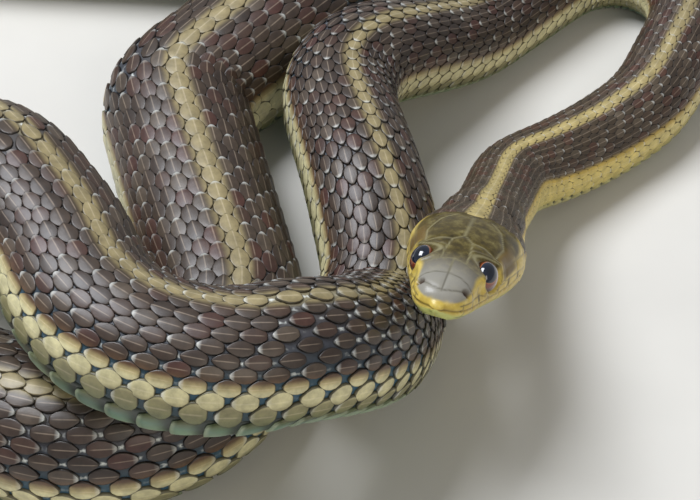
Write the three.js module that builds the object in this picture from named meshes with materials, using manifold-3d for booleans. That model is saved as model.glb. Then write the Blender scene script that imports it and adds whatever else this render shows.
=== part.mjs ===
// A garter snake resting in loose coils, life size, in millimetres with +Z up.
// The body is a loaf-shaped section carried along one route, from the snout to the tail tip.
import * as THREE from 'three';
import { mergeVertices } from 'three/addons/utils/BufferGeometryUtils.js';
import Module from 'manifold-3d';

const wasm = await Module();
wasm.setup();

// Lengths along the route, measured from the snout.
const headLength = 25;
const neckEnd = 70;
const ventAt = 600;
const totalLength = 780;
const torsoCount = 12;
const tailCount = 4;

// The route is a belt that runs round these circles, and toLeft turns it anticlockwise seen from above.
const toLeft = 1;
const toRight = -1;
const snout = [9.2, -40];
const turns = [
  { name: 'nape', x: 28.4, y: 0.5, radius: 9, side: toRight },
  { name: 'neck', x: 23, y: 34, radius: 19.5, side: toLeft },
  { name: 'right loop', x: 36, y: 41.5, radius: 10.5, side: toLeft },
  { name: 'shoulder', x: 11, y: 13.8, radius: 12.5, side: toLeft },
  { name: 'tight bend', x: -3.6, y: -14.6, radius: 8, side: toRight },
  { name: 'front coil', x: -15, y: -25.2, radius: 17.5, side: toRight },
  { name: 'slow bend', x: -68.7, y: -42.6, radius: 39, side: toLeft },
  { name: 'left loop', x: -63.5, y: -8.7, radius: 16.5, side: toLeft },
  { name: 'lower coil', x: -31.2, y: -21.5, radius: 16.8, side: toLeft },
  { name: 'upper coil', x: -16.4, y: 17.3, radius: 6.2, side: toRight },
  { name: 'back bend', x: -15.3, y: 45.4, radius: 11.5, side: toLeft },
  { name: 'back turn', x: -66, y: 73, radius: 14, side: toRight },
  { name: 'tail bend', x: 20, y: 122, radius: 36, side: toLeft },
];
const tailAim = [112, 115.5];
const routeStep = 0.5;
const routeBlend = 3;
const brushPast = 0.95;

// Body width at places along the route; the body is a little lower than it is wide.
const widths = [
  [25, 11.9], [32, 9.6], [60, 11], [110, 12.1], [160, 14.2], [220, 16.4], [270, 18.1], [340, 18.9],
  [440, 19.1], [500, 19], [545, 16.4], [600, 10.4], [618, 9.4], [700, 5.4], [780, 1.2],
];
const heightToWidth = 0.88;
const topShare = 0.53;
const bellyRounding = 1.19;
const bodySquareness = 2.15;
const headSquareness = 2.35;

// Where the body is lifted off the floor: full height from start to end, with a ramp on each side.
const neckLift = { height: 21, start: -3, end: -3, rampIn: 1, rampOut: 68 };
const lifts = [
  neckLift,
  { height: 7.8, start: 158, end: 176, rampIn: 27, rampOut: 28 },
  { height: 17, start: 225, end: 268, rampIn: 32, rampOut: 36 },
];
const headRoll = 6;
const headRollEnd = 48;

// Head sections: distance back from the snout, half width, height over and depth under the mouth line.
const headStations = [
  { back: 0, half: 0.9, top: 0.8, bottom: 0.6 },
  { back: 0.5, half: 2.1, top: 1.6, bottom: 1.1 },
  { back: 1.6, half: 3.0, top: 2.4, bottom: 1.5 },
  { back: 3.5, half: 3.7, top: 3.1, bottom: 1.9 },
  { back: 6, half: 4.3, top: 3.8, bottom: 2.2 },
  { back: 9, half: 5.1, top: 4.3, bottom: 2.5 },
  { back: 13, half: 6.2, top: 4.8, bottom: 3.0 },
  { back: 17, half: 6.9, top: 5.0, bottom: 3.4 },
  { back: 20, half: 6.9, top: 4.9, bottom: 3.6 },
  { back: 23, half: 6.2, top: 4.6, bottom: 3.8 },
  { back: 25, half: 5.5, top: 4.4, bottom: 3.9 },
];
const headToNeck = 8;
const eyeBack = 8.4;
const eyeRadius = 1.85;
const eyeThickness = 1.45;
const eyeHeight = 1.9;
const eyeOutward = 3.75;
const nostrilBack = 2.3;
const nostrilRadius = 0.45;
const mouthEnd = 17.5;
const mouthDip = 0.35;
const jawEndBack = 21;

const gap = 0.3;
const bodySides = 18;
const headSides = 28;
const ringPitch = 4;
const headRingPitch = 1;

const rad = THREE.MathUtils.degToRad;

// Value of a list of [place, value] pairs at a place, eased between them.
function valueAt(pairs, place) {
  const last = pairs.length - 1;
  if (place <= pairs[0][0]) return pairs[0][1];
  if (place >= pairs[last][0]) return pairs[last][1];
  const next = pairs.findIndex((pair) => pair[0] > place);
  const [from, low] = pairs[next - 1];
  const [to, high] = pairs[next];
  const slope = (index) => {
    const before = pairs[Math.max(index - 1, 0)];
    const after = pairs[Math.min(index + 1, last)];
    return (after[1] - before[1]) / (after[0] - before[0]);
  };
  const span = to - from;
  const t = (place - from) / span;
  const ease = t * t * (3 - 2 * t);
  const bend = t * (1 - t) * span;
  return low + (high - low) * ease + bend * ((1 - t) * slope(next - 1) - t * slope(next));
}

// Straight lines and arcs round the circles, as points at even steps, then blended a little.
function beltPoints() {
  const stops = [{ x: snout[0], y: snout[1], radius: 0, side: 1 }, ...turns,
    { x: tailAim[0], y: tailAim[1], radius: 0, side: 1 }];
  const lines = stops.slice(1).map((to, index) => {
    const from = stops[index];
    const offset = to.side * to.radius - from.side * from.radius;
    const distance = Math.hypot(to.x - from.x, to.y - from.y);
    const length = Math.sqrt(Math.max(distance * distance - offset * offset, 0));
    const heading = Math.atan2(to.y - from.y, to.x - from.x) - Math.atan2(offset, length);
    return { heading, length };
  });
  const touch = (stop, heading) => new THREE.Vector2(
    stop.x + stop.side * stop.radius * Math.sin(heading),
    stop.y - stop.side * stop.radius * Math.cos(heading));
  const points = [];
  lines.forEach((line, index) => {
    const start = touch(stops[index], line.heading);
    const end = touch(stops[index + 1], line.heading);
    const steps = Math.max(Math.ceil(line.length / routeStep), 1);
    for (let i = 0; i < steps; i += 1) points.push(start.clone().lerp(end, i / steps));
    const stop = stops[index + 1];
    const following = lines[index + 1];
    if (!following) return;
    const full = 2 * Math.PI;
    let turned = (((following.heading - line.heading) * stop.side) % full + full) % full;
    if (turned > brushPast * full) turned = 0;
    const arcSteps = Math.max(Math.ceil((turned * stop.radius) / routeStep), 1);
    for (let i = 0; i < arcSteps; i += 1) {
      points.push(touch(stop, line.heading + (stop.side * turned * i) / arcSteps));
    }
  });
  return points;
}

function evenlySpaced(points) {
  const even = [points[0].clone()];
  let carried = 0;
  for (let i = 1; i < points.length; i += 1) {
    const length = points[i].distanceTo(points[i - 1]);
    let along = routeStep - carried;
    while (along <= length) {
      even.push(points[i - 1].clone().lerp(points[i], along / length));
      along += routeStep;
    }
    carried = length - (along - routeStep);
  }
  return even;
}

function blended(points) {
  const reach = Math.round(routeBlend / routeStep);
  return points.map((point, index) => {
    const near = Math.min(reach, index, points.length - 1 - index);
    const sum = new THREE.Vector2();
    for (let k = index - near; k <= index + near; k += 1) sum.add(points[k]);
    return sum.divideScalar(2 * near + 1);
  });
}

const route = evenlySpaced(blended(evenlySpaced(beltPoints())));

function routeAt(place) {
  const position = THREE.MathUtils.clamp(place / routeStep, 0, route.length - 1.001);
  const index = Math.floor(position);
  return route[index].clone().lerp(route[index + 1], position - index);
}

function smooth(t) {
  const x = THREE.MathUtils.clamp(t, 0, 1);
  return x * x * (3 - 2 * x);
}

function liftAt(place) {
  return Math.max(...lifts.map((lift) => {
    const rise = smooth((place - lift.start + lift.rampIn) / lift.rampIn);
    const fall = 1 - smooth((place - lift.end) / lift.rampOut);
    return lift.height * rise * fall;
  }));
}

// Half width, height over the axis and depth under it, anywhere from the snout to the tail tip.
function sizesAt(place) {
  const width = valueAt(widths, Math.max(place, widths[0][0]));
  const height = heightToWidth * width;
  const body = { half: width / 2, top: topShare * height, bottom: (1 - topShare) * height };
  const toNeck = smooth((place - headLength + 1) / headToNeck);
  if (toNeck === 1) return { ...body, squareness: bodySquareness };
  const head = (key) => valueAt(headStations.map((station) => [station.back, station[key]]), place);
  const mix = (key) => head(key) + (body[key] - head(key)) * toNeck;
  const squareness = headSquareness + (bodySquareness - headSquareness) * toNeck;
  return { half: mix('half'), top: mix('top'), bottom: mix('bottom'), squareness };
}

// The axis point with its directions: back along the body, to the snake's left, and up.
function frameAt(place) {
  const held = Math.max(place, headLength);
  const ahead = routeAt(held + routeStep);
  const behind = routeAt(held - routeStep);
  const along = ahead.clone().sub(behind).normalize();
  const slope = Math.atan2(liftAt(held - routeStep) - liftAt(held + routeStep), 2 * routeStep);
  const back = new THREE.Vector3(along.x * Math.cos(slope), along.y * Math.cos(slope), -Math.sin(slope));
  const roll = rad(headRoll) * (1 - smooth((held - headLength) / (headRollEnd - headLength)));
  const flatLeft = new THREE.Vector3(along.y, -along.x, 0);
  const flatUp = new THREE.Vector3().crossVectors(back, flatLeft).negate();
  const left = flatLeft.clone().multiplyScalar(Math.cos(roll)).addScaledVector(flatUp, -Math.sin(roll));
  const up = flatUp.clone().multiplyScalar(Math.cos(roll)).addScaledVector(flatLeft, Math.sin(roll));
  const onRoute = routeAt(held);
  const base = new THREE.Vector3(onRoute.x, onRoute.y, liftAt(held) + sizesAt(held).bottom);
  return { point: base.addScaledVector(back, place - held), back, left, up };
}

function sectionPoint(sizes, angle) {
  const power = 2 / sizes.squareness;
  const across = Math.sin(angle);
  const upward = Math.cos(angle);
  const x = sizes.half * Math.sign(across) * Math.abs(across) ** power;
  const reach = Math.abs(upward) ** power;
  const z = upward > 0 ? sizes.top * reach : -Math.min(sizes.bottom, sizes.bottom * bellyRounding * reach);
  return [x, z];
}

function ringAt(place, sides) {
  const sizes = sizesAt(place);
  const frame = frameAt(place);
  const ring = [];
  for (let i = 0; i < sides; i += 1) {
    const [x, z] = sectionPoint(sizes, (2 * Math.PI * i) / sides);
    ring.push(frame.point.clone().addScaledVector(frame.left, x).addScaledVector(frame.up, z));
  }
  return ring;
}

// A closed solid through rings of points, with a fan over each end.
function loft(rings) {
  const sides = rings[0].length;
  const points = rings.flat();
  const middle = (ring) => ring.reduce((sum, point) => sum.add(point), new THREE.Vector3()).divideScalar(sides);
  const first = points.push(middle(rings[0])) - 1;
  const last = points.push(middle(rings[rings.length - 1])) - 1;
  const index = [];
  const end = (rings.length - 1) * sides;
  for (let i = 0; i < sides; i += 1) {
    const j = (i + 1) % sides;
    for (let r = 0; r < end; r += sides) {
      index.push(r + i, r + j, r + sides + j, r + i, r + sides + j, r + sides + i);
    }
    index.push(first, j, i, last, end + i, end + j);
  }
  const geometry = new THREE.BufferGeometry().setFromPoints(points);
  geometry.setIndex(index);
  return geometry;
}

function toSolid(geometry) {
  const bare = geometry.clone();
  bare.deleteAttribute('normal');
  bare.deleteAttribute('uv');
  const merged = mergeVertices(bare, 1e-5);
  const solid = new wasm.Manifold(new wasm.Mesh({
    numProp: 3,
    vertProperties: new Float32Array(merged.attributes.position.array),
    triVerts: new Uint32Array(merged.index.array),
  }));
  return solid;
}

function toGeometry(solid) {
  const mesh = solid.getMesh();
  const geometry = new THREE.BufferGeometry();
  geometry.setAttribute('position', new THREE.Float32BufferAttribute(mesh.vertProperties, 3));
  geometry.setIndex(Array.from(mesh.triVerts));
  return geometry;
}

// One colour and finish for each kind of piece.
const finishes = {
  back: { color: 0x4b4038, roughness: 0.5, metalness: 0 },
  neck: { color: 0x5a4d3c, roughness: 0.5, metalness: 0 },
  crown: { color: 0x5f5534, roughness: 0.35, metalness: 0 },
  jaw: { color: 0xc9b85f, roughness: 0.4, metalness: 0 },
  eye: { color: 0x14161c, roughness: 0.08, metalness: 0 },
};

function piece(name, geometry, finish) {
  geometry.computeVertexNormals();
  const mesh = new THREE.Mesh(geometry, new THREE.MeshStandardMaterial(finish));
  mesh.name = name;
  return mesh;
}

// A length of the body between two places on the route.
function bodyLength(from, to) {
  const count = Math.max(Math.round((to - from) / ringPitch), 3);
  const rings = [];
  for (let i = 0; i <= count; i += 1) rings.push(ringAt(from + ((to - from) * i) / count, bodySides));
  return loft(rings);
}

function bodyPieces(name, from, to, count) {
  const length = (to - from) / count;
  return Array.from({ length: count }, (_, index) => {
    const start = from + index * length;
    const label = `${name}_${String(index + 1).padStart(2, '0')}`;
    return piece(label, bodyLength(start + gap / 2, start + length - gap / 2), finishes.back);
  });
}

// Places of things on the head, from its own axis: back from the snout, to the left and up.
function headPoint(back, left, up) {
  const frame = frameAt(back);
  return frame.point.clone().addScaledVector(frame.left, left).addScaledVector(frame.up, up);
}

function headMatrix(back, left, up) {
  const frame = frameAt(back);
  const matrix = new THREE.Matrix4().makeBasis(frame.left, frame.back, frame.up);
  return matrix.setPosition(headPoint(back, left, up));
}

function eyeGeometry(side, grow) {
  const eye = new THREE.SphereGeometry(1, 20, 14);
  eye.scale(eyeThickness + grow, eyeRadius + grow, eyeRadius + grow);
  return eye.applyMatrix4(headMatrix(eyeBack, side * eyeOutward, eyeHeight));
}

function nostrilGeometry(side) {
  const sizes = sizesAt(nostrilBack);
  const pit = new THREE.SphereGeometry(nostrilRadius, 10, 6);
  pit.scale(1, 1.5, 1);
  return pit.applyMatrix4(headMatrix(nostrilBack, side * sizes.half * 0.82, sizes.top * 0.62));
}

// A thin sheet along the line of the mouth, then down behind the jaw, that parts the jaw from the head.
function mouthSheet() {
  const line = [];
  for (let back = -1; back <= mouthEnd; back += (mouthEnd + 1) / 10) {
    line.push([back, -mouthDip * Math.sin((Math.PI * Math.max(back, 0)) / mouthEnd)]);
  }
  line.push([jawEndBack, -headStations[headStations.length - 1].bottom - 2]);
  const shape = new THREE.Shape();
  line.forEach(([back, z], index) => (index ? shape.lineTo(back, z + gap / 2) : shape.moveTo(back, z + gap / 2)));
  line.reverse().forEach(([back, z], index) => shape.lineTo(index ? back : back - gap, z - gap / 2));
  const halfSpan = 9;
  const sheet = new THREE.ExtrudeGeometry(shape, { depth: 2 * halfSpan, bevelEnabled: false });
  sheet.translate(0, 0, -halfSpan);
  sheet.applyMatrix4(new THREE.Matrix4().makeBasis(
    new THREE.Vector3(0, 1, 0), new THREE.Vector3(0, 0, 1), new THREE.Vector3(1, 0, 0)));
  return sheet.applyMatrix4(headMatrix(0, 0, 0));
}

function headPieces() {
  const rings = [];
  const end = headLength - gap / 2;
  const fine = [0, 0.25, 0.5, 1];
  const steps = Math.round((end - 1.5) / headRingPitch);
  for (let i = 0; i <= steps; i += 1) fine.push(1.5 + ((end - 1.5) * i) / steps);
  fine.forEach((back) => rings.push(ringAt(back, headSides)));
  let whole = toSolid(loft(rings));
  for (const side of [-1, 1]) {
    whole = whole.subtract(toSolid(eyeGeometry(side, gap)));
    whole = whole.subtract(toSolid(nostrilGeometry(side)));
  }
  const parts = whole.subtract(toSolid(mouthSheet())).decompose();
  parts.sort((a, b) => b.volume() - a.volume());
  return [
    piece('head', toGeometry(parts[0]), finishes.crown),
    piece('lower_jaw', toGeometry(parts[1]), finishes.jaw),
    piece('eye_left', eyeGeometry(1, 0), finishes.eye),
    piece('eye_right', eyeGeometry(-1, 0), finishes.eye),
  ];
}

const snake = new THREE.Group();
snake.name = 'garter_snake';
snake.add(...headPieces());
snake.add(piece('neck', bodyLength(headLength + gap / 2, neckEnd - gap / 2), finishes.neck));
snake.add(...bodyPieces('torso', neckEnd, ventAt, torsoCount));
snake.add(...bodyPieces('tail', ventAt, totalLength, tailCount));

// The origin is under the middle of the whole snake, at floor height.
const box = new THREE.Box3().setFromObject(snake);
const centre = box.getCenter(new THREE.Vector3());
snake.position.set(-centre.x, -centre.y, 0);

export default snake;
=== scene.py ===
# A garter snake resting in loose coils with its head raised, life size.
# Sizes below are in millimetres and turned to metres where a mesh is made.
import math
import bpy
import numpy as np
from mathutils import Matrix, Vector


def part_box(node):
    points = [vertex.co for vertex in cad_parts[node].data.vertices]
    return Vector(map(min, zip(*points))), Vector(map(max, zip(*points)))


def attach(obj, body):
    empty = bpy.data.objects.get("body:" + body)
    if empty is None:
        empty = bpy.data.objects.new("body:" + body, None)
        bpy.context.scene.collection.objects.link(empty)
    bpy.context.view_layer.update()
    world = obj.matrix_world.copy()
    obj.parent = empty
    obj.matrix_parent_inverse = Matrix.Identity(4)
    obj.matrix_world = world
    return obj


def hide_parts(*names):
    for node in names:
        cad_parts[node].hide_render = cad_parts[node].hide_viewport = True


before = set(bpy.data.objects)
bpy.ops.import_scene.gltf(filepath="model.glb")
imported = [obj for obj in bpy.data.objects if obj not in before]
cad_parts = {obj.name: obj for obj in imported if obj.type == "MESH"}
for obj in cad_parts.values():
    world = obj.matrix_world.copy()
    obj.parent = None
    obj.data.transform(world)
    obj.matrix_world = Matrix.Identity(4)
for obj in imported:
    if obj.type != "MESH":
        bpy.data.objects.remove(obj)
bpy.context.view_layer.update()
mm = 0.001
print("frame loaded")

# The body's course over the floor and its girth, as in the solids.
body = {
    "headLength": 25.0, "totalLength": 780.0,
    "snout": (9.2, -40.0), "tailAim": (112.0, 115.5),
    "routeStep": 0.5, "routeBlend": 3.0, "brushPast": 0.95,
    # x, y, radius, and 1 for a left turn or -1 for a right one, from the nape to the tail
    "turns": [(28.4, 0.5, 9, -1), (23, 34, 19.5, 1), (36, 41.5, 10.5, 1), (11, 13.8, 12.5, 1),
              (-3.6, -14.6, 8, -1), (-15, -25.2, 17.5, -1), (-68.7, -42.6, 39, 1), (-63.5, -8.7, 16.5, 1),
              (-31.2, -21.5, 16.8, 1), (-16.4, 17.3, 6.2, -1), (-15.3, 45.4, 11.5, 1), (-66, 73, 14, -1),
              (20, 122, 36, 1)],
    # place and width
    "widths": [(25, 11.9), (32, 9.6), (60, 11), (110, 12.1), (160, 14.2), (220, 16.4), (270, 18.1),
               (340, 18.9), (440, 19.1), (500, 19), (545, 16.4), (600, 10.4), (618, 9.4), (700, 5.4),
               (780, 1.2)],
    "heightToWidth": 0.88, "topShare": 0.53, "bellyRounding": 1.19, "squareness": 2.15,
    # height, start, end, ramp in, ramp out
    "lifts": [(21, -3, -3, 1, 68), (7.8, 158, 176, 27, 28), (17, 225, 268, 32, 36)],
    # how far the markings are twisted towards the snake's right, in degrees, at places along the body
    "twist": [(0, 0), (40, 0.6), (90, 0.8), (150, 9.8), (190, 14.9), (212, 9.2), (235, -18.4), (270, -18.1),
              (310, -7.9), (400, -11.2), (450, -1.7), (500, 5.3), (780, 0)],
}

head = {
    "roll": 6.0, "rollEnd": 48.0, "toNeck": 8.0, "squareness": 2.35,
    # back from the snout, half width, height over and depth under the mouth line
    "stations": [(0, .9, .8, .6), (.5, 2.1, 1.6, 1.1), (1.6, 3, 2.4, 1.5), (3.5, 3.7, 3.1, 1.9),
                 (6, 4.3, 3.8, 2.2), (9, 5.1, 4.3, 2.5), (13, 6.2, 4.8, 3), (17, 6.9, 5, 3.4),
                 (20, 6.9, 4.9, 3.6), (23, 6.2, 4.6, 3.8), (25, 5.5, 4.4, 3.9)],
    "eyeBack": 8.4, "eyeRadius": 1.85, "eyeThickness": 1.45, "eyeHeight": 1.9, "eyeOutward": 3.75,
    "nostrilBack": 2.3, "nostrilRadius": 0.45, "mouthEnd": 17.5, "mouthDip": 0.35,
}


def smooth(t):
    x = np.clip(t, 0, 1)
    return x * x * (3 - 2 * x)


def valueAt(pairs, places):
    # Eased value of a list of (place, value) at many places.
    pairs = np.array(pairs, float)
    at, val = pairs[:, 0], pairs[:, 1]
    last = len(at) - 1
    before = np.maximum(np.arange(len(at)) - 1, 0)
    after = np.minimum(np.arange(len(at)) + 1, last)
    slope = (val[after] - val[before]) / (at[after] - at[before])
    p = np.clip(np.asarray(places, float), at[0], at[last])
    k = np.clip(np.searchsorted(at, p, side="right") - 1, 0, last - 1)
    span = at[k + 1] - at[k]
    t = (p - at[k]) / span
    ease = t * t * (3 - 2 * t)
    swing = t * (1 - t) * span * ((1 - t) * slope[k] - t * slope[k + 1])
    return val[k] + (val[k + 1] - val[k]) * ease + swing


def beltPoints():
    # Straight lines and arcs round the circles, in order from the snout to the tail.
    stops = [(*body["snout"], 0, 1)] + body["turns"] + [(*body["tailAim"], 0, 1)]
    lines = []
    for (x0, y0, r0, s0), (x1, y1, r1, s1) in zip(stops, stops[1:]):
        offset = s1 * r1 - s0 * r0
        length = math.sqrt(max((x1 - x0) ** 2 + (y1 - y0) ** 2 - offset ** 2, 0))
        lines.append((math.atan2(y1 - y0, x1 - x0) - math.atan2(offset, length), length))
    step = body["routeStep"]
    points = []
    for index, (heading, length) in enumerate(lines):
        def touch(stop, angle):
            x, y, radius, side = stop
            return np.array([x + side * radius * math.sin(angle), y - side * radius * math.cos(angle)])
        start, end = touch(stops[index], heading), touch(stops[index + 1], heading)
        count = max(math.ceil(length / step), 1)
        points += [start + (end - start) * i / count for i in range(count)]
        if index + 1 == len(lines):
            break
        stop = stops[index + 1]
        turned = ((lines[index + 1][0] - heading) * stop[3]) % (2 * math.pi)
        turned = 0 if turned > body["brushPast"] * 2 * math.pi else turned
        count = max(math.ceil(turned * stop[2] / step), 1)
        points += [touch(stop, heading + stop[3] * turned * i / count) for i in range(count)]
    return np.array(points)


def evenlySpaced(points):
    walked = np.concatenate([[0], np.cumsum(np.linalg.norm(np.diff(points, axis=0), axis=1))])
    at = np.arange(0, walked[-1], body["routeStep"])
    return np.stack([np.interp(at, walked, points[:, k]) for k in range(2)], axis=1)


def blended(points):
    reach = round(body["routeBlend"] / body["routeStep"])
    total = np.concatenate([[[0, 0]], np.cumsum(points, axis=0)])
    index = np.arange(len(points))
    near = np.minimum(np.minimum(reach, index), len(points) - 1 - index)
    return (total[index + near + 1] - total[index - near]) / (2 * near + 1)[:, None]


route = evenlySpaced(blended(evenlySpaced(beltPoints())))


def routeAt(places):
    position = np.clip(np.asarray(places, float) / body["routeStep"], 0, len(route) - 1.001)
    k = np.floor(position).astype(int)
    return route[k] + (route[k + 1] - route[k]) * (position - k)[..., None]


def liftAt(places):
    p = np.asarray(places, float)
    return np.max([h * smooth((p - start + rampIn) / rampIn) * (1 - smooth((p - end) / rampOut))
                   for h, start, end, rampIn, rampOut in body["lifts"]], axis=0)


def sizesAt(places):
    # Half width, height over the axis, depth under it, and squareness of the section.
    width = valueAt(body["widths"], np.maximum(places, body["headLength"]))
    height = body["heightToWidth"] * width
    own = [width / 2, body["topShare"] * height, (1 - body["topShare"]) * height]
    toNeck = smooth((np.asarray(places) - body["headLength"] + 1) / head["toNeck"])
    stations = np.array(head["stations"])
    onHead = [valueAt(stations[:, [0, k]], places) for k in (1, 2, 3)]
    mixed = [h + (b - h) * toNeck for h, b in zip(onHead, own)]
    return mixed + [head["squareness"] + (body["squareness"] - head["squareness"]) * toNeck]


def framesAt(places):
    # Axis points with the directions back along the body, to the snake's left, and up.
    places = np.asarray(places, float)
    step = body["routeStep"]
    held = np.maximum(places, body["headLength"])
    along = routeAt(held + step) - routeAt(held - step)
    along /= np.linalg.norm(along, axis=-1, keepdims=True)
    slope = np.arctan2(liftAt(held - step) - liftAt(held + step), 2 * step)
    back = np.stack([along[..., 0] * np.cos(slope), along[..., 1] * np.cos(slope), -np.sin(slope)], -1)
    flatLeft = np.stack([along[..., 1], -along[..., 0], np.zeros_like(slope)], -1)
    flatUp = -np.cross(back, flatLeft)
    unrolled = smooth((held - body["headLength"]) / (head["rollEnd"] - body["headLength"]))
    roll = np.radians(head["roll"]) * (1 - unrolled)
    c, s = np.cos(roll)[..., None], np.sin(roll)[..., None]
    left, up = flatLeft * c - flatUp * s, flatUp * c + flatLeft * s
    base = np.concatenate([routeAt(held), (liftAt(held) + sizesAt(held)[2])[..., None]], -1)
    return base + back * (places - held)[..., None], back, left, up


def sectionAt(places, degrees):
    # Place in the section, left and up from the axis, at an angle from the back towards the snake's left.
    half, top, bottom, squareness = sizesAt(places)
    power = 2 / squareness
    angle = np.radians(degrees)
    across, upward = np.sin(angle), np.cos(angle)
    x = half * np.sign(across) * np.abs(across) ** power
    reach = np.abs(upward) ** power
    z = np.where(upward > 0, top * reach, -np.minimum(bottom, bottom * body["bellyRounding"] * reach))
    return x, z


def sectionOut(places, degrees):
    # Outward direction in the section, left and up.
    half, top, bottom, squareness = sizesAt(places)
    angle = np.radians(degrees)
    out = np.stack([np.sin(angle) / half, np.cos(angle) / np.where(np.cos(angle) > 0, top, bottom)], -1)
    return out / np.linalg.norm(out, axis=-1, keepdims=True)


# The solids' frame starts under the middle of the box, so the route is shifted by the same amount.
def framePoint(back, left, up):
    point, _, toLeft, toUp = framesAt(np.array([back]))
    return point[0] + toLeft[0] * left + toUp[0] * up


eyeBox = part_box("eye_left")
eyeMiddle = np.array([(a + b) / 2 for a, b in zip(*eyeBox)]) / mm
shift = eyeMiddle - framePoint(head["eyeBack"], head["eyeOutward"], head["eyeHeight"])
shift[2] = 0
print("route laid, shift", [round(v, 3) for v in shift])


def onSkin(places, around, depth):
    # A point on the skin, where around is measured from the middle of the back stripe.
    degrees = np.asarray(around) - valueAt(body["twist"], places)
    point, _, left, up = framesAt(places)
    x, z = sectionAt(places, degrees)
    out = sectionOut(places, degrees)
    x, z = x + out[..., 0] * depth, z + out[..., 1] * depth
    return point + left * x[..., None] + up * z[..., None] + shift


def makeMesh(name, points, faces, attributes=(), uvMaps=()):
    mesh = bpy.data.meshes.new(name)
    mesh.from_pydata((np.asarray(points) * mm).tolist(), [], faces)
    for key, values in dict(attributes).items():
        values = np.asarray(values, np.float32)
        kind = "FLOAT" if values.ndim == 1 else "FLOAT_VECTOR"
        field = "value" if values.ndim == 1 else "vector"
        mesh.attributes.new(key, kind, "POINT").data.foreach_set(field, values.ravel())
    for key, values in dict(uvMaps).items():
        mesh.uv_layers.new(name=key).data.foreach_set("uv", np.asarray(values, np.float32).ravel())
    mesh.polygons.foreach_set("use_smooth", [True] * len(mesh.polygons))
    mesh.update()
    obj = bpy.data.objects.new(name, mesh)
    bpy.context.scene.collection.objects.link(obj)
    return obj


# Where a place on the skin lies on its unwrap: the head in a large patch, the body in rows of small ones.
unwrap = {"headEnd": 28.0, "columns": 6, "rows": 3, "margin": 0.04, "inside": 0.92, "bodyHeight": 0.6,
          "headCorner": (0.02, 0.63), "headSize": (0.6, 0.35)}


def unwrapSpot(places, around, cellOf=None):
    places, around = np.asarray(places, float), np.asarray(around, float)
    cellOf = places if cellOf is None else cellOf
    count = unwrap["columns"] * unwrap["rows"]
    length = (body["totalLength"] + 1 - unwrap["headEnd"]) / count
    cell = np.clip(np.floor((cellOf - unwrap["headEnd"]) / length), 0, count - 1)
    margin, inside = unwrap["margin"], unwrap["inside"]
    inCell = places - unwrap["headEnd"] - cell * length
    turned = around % 360.0001
    u = (cell % unwrap["columns"] + margin + inside * inCell / length) / unwrap["columns"]
    v = np.floor(cell / unwrap["columns"]) + margin + inside * turned / 360
    v = unwrap["bodyHeight"] * v / unwrap["rows"]
    onHead = cellOf < unwrap["headEnd"]
    (cornerU, cornerV), (wide, high) = unwrap["headCorner"], unwrap["headSize"]
    u = np.where(onHead, cornerU + wide * turned / 360, u)
    v = np.where(onHead, cornerV + high * (places + 1) / (unwrap["headEnd"] + 1), v)
    return np.stack([u, v], -1)


# The rows of scales and how they lie.
coat = {
    # from the back stripe down to the belly
    "rowDegrees": [0, 11.4, 22.8, 34.2, 45.6, 57, 68.4, 80, 93, 106.5],
    "spacing": 0.157,            # of the body's width
    "leastSpacing": 1.25,
    "start": 17.5, "skinDepth": 0.25,
    "lengthShare": 1.1, "widthShare": 1.24, "lowRowShares": {7: 1.06, 8: 1.15, 9: 1.36}, "liftDegrees": 3.4,
    "wobble": 0.025, "seed": 7, "mostInPiece": 1150,
    "tailRowDegrees": [0, 21, 42, 63, 84, 104], "tailStart": 604.0,
}

along = np.arange(0, body["totalLength"] + 0.25, 0.25)
girthAlong = valueAt(body["widths"], np.maximum(along, 34))
spacingAlong = np.maximum(coat["spacing"] * girthAlong, coat["leastSpacing"])
countAlong = np.concatenate([[0], np.cumsum(0.25 / spacingAlong[:-1])])


def scaleCount(places):
    return np.interp(places, along, countAlong)


def placeOfCount(counts):
    return np.interp(counts, countAlong, along)


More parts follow.
